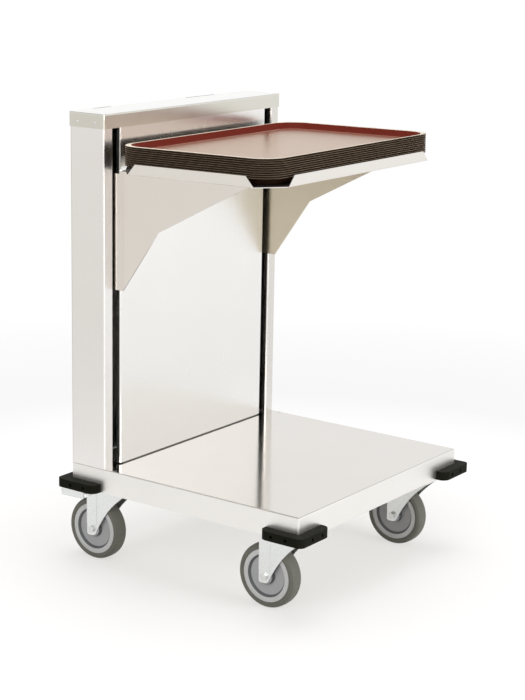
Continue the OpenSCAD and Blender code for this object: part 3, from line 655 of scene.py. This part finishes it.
def spring_half(x, y, hook_z, middle_z):
    """The wire of a spring's lower half: round the hook, out from the middle and up the coil."""
    points = []
    for k in range(HOOK_FROM, 360, HOOK_STEP):
        a = math.radians(k)
        points.append(Vector((x, y + HOOK_R * math.sin(a), hook_z + HOOK_R * math.cos(a))))
    steps = round(COIL_TURNS / 2 * TURN_STEPS)
    base = hook_z + HOOK_R
    for k in range(steps + 1):
        out = min(1.0, 2 * k / TURN_STEPS)
        a = math.pi / 2 + 2 * math.pi * k / TURN_STEPS
        r = COIL_R * out * (2 - out)
        z = base + (middle_z - base) * k / steps
        points.append(Vector((x + r * math.cos(a), y + r * math.sin(a), z)))
    return points


def tube(bm, points, radius):
    """A round wire along points, closed at both ends."""
    rings = []
    side = Vector((1, 0, 0))
    for i, p in enumerate(points):
        along = (points[min(i + 1, len(points) - 1)] - points[max(i - 1, 0)]).normalized()
        side = (side - along * side.dot(along)).normalized()
        over = along.cross(side)
        rings.append([
            bm.verts.new(p + radius * (side * math.cos(a) + over * math.sin(a)))
            for a in (2 * math.pi * k / WIRE_SIDES for k in range(WIRE_SIDES))
        ])
    for here, there in zip(rings, rings[1:]):
        join_rings(bm, here, there)
    bm.faces.new(rings[0])
    bm.faces.new(rings[-1])


def make_springs():
    """Wound springs from the carriage's pull bar to the hanger."""
    lo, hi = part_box("springs")
    y = (lo.y + hi.y) / 2
    low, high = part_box("pull_bar")[1].z, hi.z - HOOK_R - WIRE_R
    middle = (low + high) / 2
    for i in range(SPRING_COUNT):
        x = (i - (SPRING_COUNT - 1) / 2) * SPRING_PITCH
        half = spring_half(x, y, low, middle)
        other = [Vector((p.x, 2 * y - p.y, 2 * middle - p.z)) for p in reversed(half[:-1])]
        bm = bmesh.new()
        tube(bm, half + other, WIRE_R)
        spring = link_mesh(f"spring_{i}", bm, [spring_wire], None, ["springs"])
        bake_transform(spring)


# Camera

CAMERA_AT = Vector((-2.83975, -2.03423, 1.27568))
AZIMUTH = -54.446
ELEVATION = 13.730
ROLL = 1.105
LENS = 93.10
FARTHEST_SEEN = 50


def make_camera():
    """A camera at the photograph's viewing angle."""
    a, e, roll = (math.radians(v) for v in (AZIMUTH, ELEVATION, ROLL))
    back = Vector((math.sin(a) * math.cos(e), -math.cos(a) * math.cos(e), math.sin(e)))
    right = (-back).cross(Vector((0, 0, 1))).normalized()
    up = right.cross(-back)
    x_axis = right * math.cos(roll) + up * math.sin(roll)
    y_axis = up * math.cos(roll) - right * math.sin(roll)
    data = bpy.data.cameras.new("camera")
    data.lens = LENS
    data.clip_end = FARTHEST_SEEN
    cam = bpy.data.objects.new("camera", data)
    cam.matrix_world = Matrix.Translation(CAMERA_AT) @ Matrix((x_axis, y_axis, back)).transposed().to_4x4()
    scene.collection.objects.link(cam)
    scene.camera = cam


# Stage

FLOOR_HALF = 12.0
# What the floor sends on to the object
FLOOR_COLOUR = (0.62, 0.61, 0.59, 1)
FLOOR_ROUGHNESS = 0.7
FLOOR_SPECULAR = 0.1
# How far from the middle the seen floor's painted warm shadow starts to lift, where it has lifted and the
# floor starts to fade, and where the floor is white
FLOOR_WARM, FLOOR_NEAR, FLOOR_FAR = 0.3, 0.8, 2.2
WHITE = (1, 1, 1)
BLACK = (0, 0, 0)
# The warm tint of the painted shadow in the floor's middle
PAINTED_SHADOW_TINT = (1.0, 0.988, 0.962)
# The seen floor's own grey, which takes the cast shadow, and its glow in the middle, near and far; the weaker
# glow in the middle is a painted shadow
SHADOW_GREY = (0.36, 0.36, 0.36)
PAINTED_SHADOW_GLOW, GLOW_NEAR, GLOW_FAR = 0.62, 0.74, 1.0
# The way towards which mirrors see the floor darker, where that starts and is full, and its colour
SHADE_TOWARDS = (-0.82, 0.57, 0)
SHADE_NEAR, SHADE_FAR = 0.5, 2.2
SHADE_COLOUR = (0.84, 0.82, 0.79)
# How far up mirrors start to see the studio darker and see it darkest, and how bright that is
CEILING_FROM, CEILING_TO = 0.40, 0.75
CEILING_DARK = 0.6
STUDIO_LIGHT = 0.24
# Name, place, aim, side in metres and power in watts of each lamp
LAMPS = [
    ("front", (0.2, -3.4, 1.0), (0, 0, 0.25), 2.0, 54),
    ("side", (-3.2, -0.9, 1.9), (0, 0, 0.2), 2.0, 46),
    ("top", (0.3, 0.2, 3.6), (0, 0, 0.4), 2.6, 74),
    ("low", (2.9, -2.3, 1.5), (0, 0, 0.1), 1.2, 1.1),
]


def seen_rays(tree):
    """1 for rays that the camera or a mirror sends, 0 for light bouncing about."""
    path = tree.nodes.new("ShaderNodeLightPath")
    mirrored = combine(tree, "MAXIMUM", path.outputs["Is Glossy Ray"], path.outputs["Is Transmission Ray"])
    return combine(tree, "MAXIMUM", path.outputs["Is Camera Ray"], mirrored)


def floor_colour(tree, place, near):
    """The seen floor's white: warm in the middle as painted shadow, and in mirrors darker towards one side.
    """
    aside = tree.nodes.new("ShaderNodeVectorMath")
    aside.operation = "DOT_PRODUCT"
    aside.inputs[1].default_value = SHADE_TOWARDS
    tree.links.new(place, aside.inputs[0])
    path = tree.nodes.new("ShaderNodeLightPath")
    shade = remap(tree, aside.outputs["Value"], 0.0, 1.0, SHADE_NEAR, SHADE_FAR)
    shade = combine(tree, "MULTIPLY", shade, path.outputs["Is Glossy Ray"])
    tint = colour_mix(tree, "MULTIPLY")
    tint.inputs["Factor"].default_value = 1.0
    tree.links.new(blend_colours(tree, shade, WHITE, SHADE_COLOUR), tint.inputs["A"])
    tree.links.new(blend_colours(tree, near, PAINTED_SHADOW_TINT, WHITE), tint.inputs["B"])
    return tint.outputs["Result"]


def seen_floor(tree):
    """What the camera and mirrors see of the floor: a glow, weaker and warmer in the middle as painted
    shadow, and a matt grey that takes the cast shadow.
    """
    coords = tree.nodes.new("ShaderNodeTexCoord")
    place = coords.outputs["Object"]
    distance = tree.nodes.new("ShaderNodeVectorMath")
    distance.operation = "LENGTH"
    tree.links.new(place, distance.inputs[0])
    near = remap(tree, distance.outputs["Value"], 0.0, 1.0, FLOOR_WARM, FLOOR_NEAR)
    far = remap(tree, distance.outputs["Value"], 0.0, 1.0, FLOOR_NEAR, FLOOR_FAR)
    glow = tree.nodes.new("ShaderNodeEmission")
    tree.links.new(floor_colour(tree, place, near), glow.inputs["Color"])
    rise = remap(tree, near, PAINTED_SHADOW_GLOW, GLOW_NEAR)
    strength = combine(tree, "MAXIMUM", rise, remap(tree, far, PAINTED_SHADOW_GLOW, GLOW_FAR))
    tree.links.new(strength, glow.inputs["Strength"])
    matt = tree.nodes.new("ShaderNodeBsdfDiffuse")
    tree.links.new(blend_colours(tree, far, SHADOW_GREY, BLACK), matt.inputs["Color"])
    seen = tree.nodes.new("ShaderNodeAddShader")
    tree.links.new(matt.outputs["BSDF"], seen.inputs[0])
    tree.links.new(glow.outputs["Emission"], seen.inputs[1])
    return seen.outputs["Shader"]


def make_floor():
    """A white floor that fades into the white background, keeps the cast shadow and has a painted shadow
    round the middle.
    """
    mesh = bpy.data.meshes.new("floor")
    corners = [(sx * FLOOR_HALF, sy * FLOOR_HALF, 0) for sx, sy in ((-1, -1), (1, -1), (1, 1), (-1, 1))]
    mesh.from_pydata(corners, [], [(0, 1, 2, 3)])
    floor = bpy.data.objects.new("floor", mesh)
    scene.collection.objects.link(floor)
    material, tree, shader = new_material("floor_white")
    shader.inputs["Base Color"].default_value = FLOOR_COLOUR
    shader.inputs["Roughness"].default_value = FLOOR_ROUGHNESS
    shader.inputs["Specular IOR Level"].default_value = FLOOR_SPECULAR
    choose = tree.nodes.new("ShaderNodeMixShader")
    tree.links.new(seen_rays(tree), choose.inputs["Fac"])
    tree.links.new(shader.outputs["BSDF"], choose.inputs[1])
    tree.links.new(seen_floor(tree), choose.inputs[2])
    tree.links.new(choose.outputs["Shader"], tree.nodes["Material Output"].inputs["Surface"])
    mesh.materials.append(material)


def make_world():
    """A white studio: white to the camera and, but for its ceiling, to mirrors, and softer as light."""
    world = bpy.data.worlds.new("studio")
    world.use_nodes = True
    scene.world = world
    tree = world.node_tree
    background = tree.nodes["Background"]
    background.inputs["Color"].default_value = (*WHITE, 1)
    coords = tree.nodes.new("ShaderNodeTexCoord")
    split = tree.nodes.new("ShaderNodeSeparateXYZ")
    tree.links.new(coords.outputs["Generated"], split.inputs["Vector"])
    path = tree.nodes.new("ShaderNodeLightPath")
    ceiling = remap(tree, split.outputs["Z"], 1.0, CEILING_DARK, CEILING_FROM, CEILING_TO)
    mirrored = combine(tree, "MULTIPLY", path.outputs["Is Glossy Ray"], ceiling)
    seen = combine(tree, "MAXIMUM", path.outputs["Is Camera Ray"], mirrored)
    light = remap(tree, seen_rays(tree), STUDIO_LIGHT, 0.0)
    tree.links.new(combine(tree, "MAXIMUM", seen, light), background.inputs["Strength"])


def area_light(name, at, target, size, power):
    """A square soft light aimed at a point."""
    data = bpy.data.lights.new(name, "AREA")
    data.shape = "SQUARE"
    data.size = size
    data.energy = power
    lamp = bpy.data.objects.new(name, data)
    lamp.location = at
    lamp.rotation_euler = (Vector(at) - Vector(target)).to_track_quat("Z", "Y").to_euler()
    scene.collection.objects.link(lamp)


make_trays()
for corner in ("front_left", "front_right", "rear_left", "rear_right"):
    make_tyre(corner)
    make_wheel(corner)
make_springs()
make_camera()
make_floor()
make_world()
for lamp in LAMPS:
    area_light(*lamp)
scene.view_settings.view_transform = "Standard"
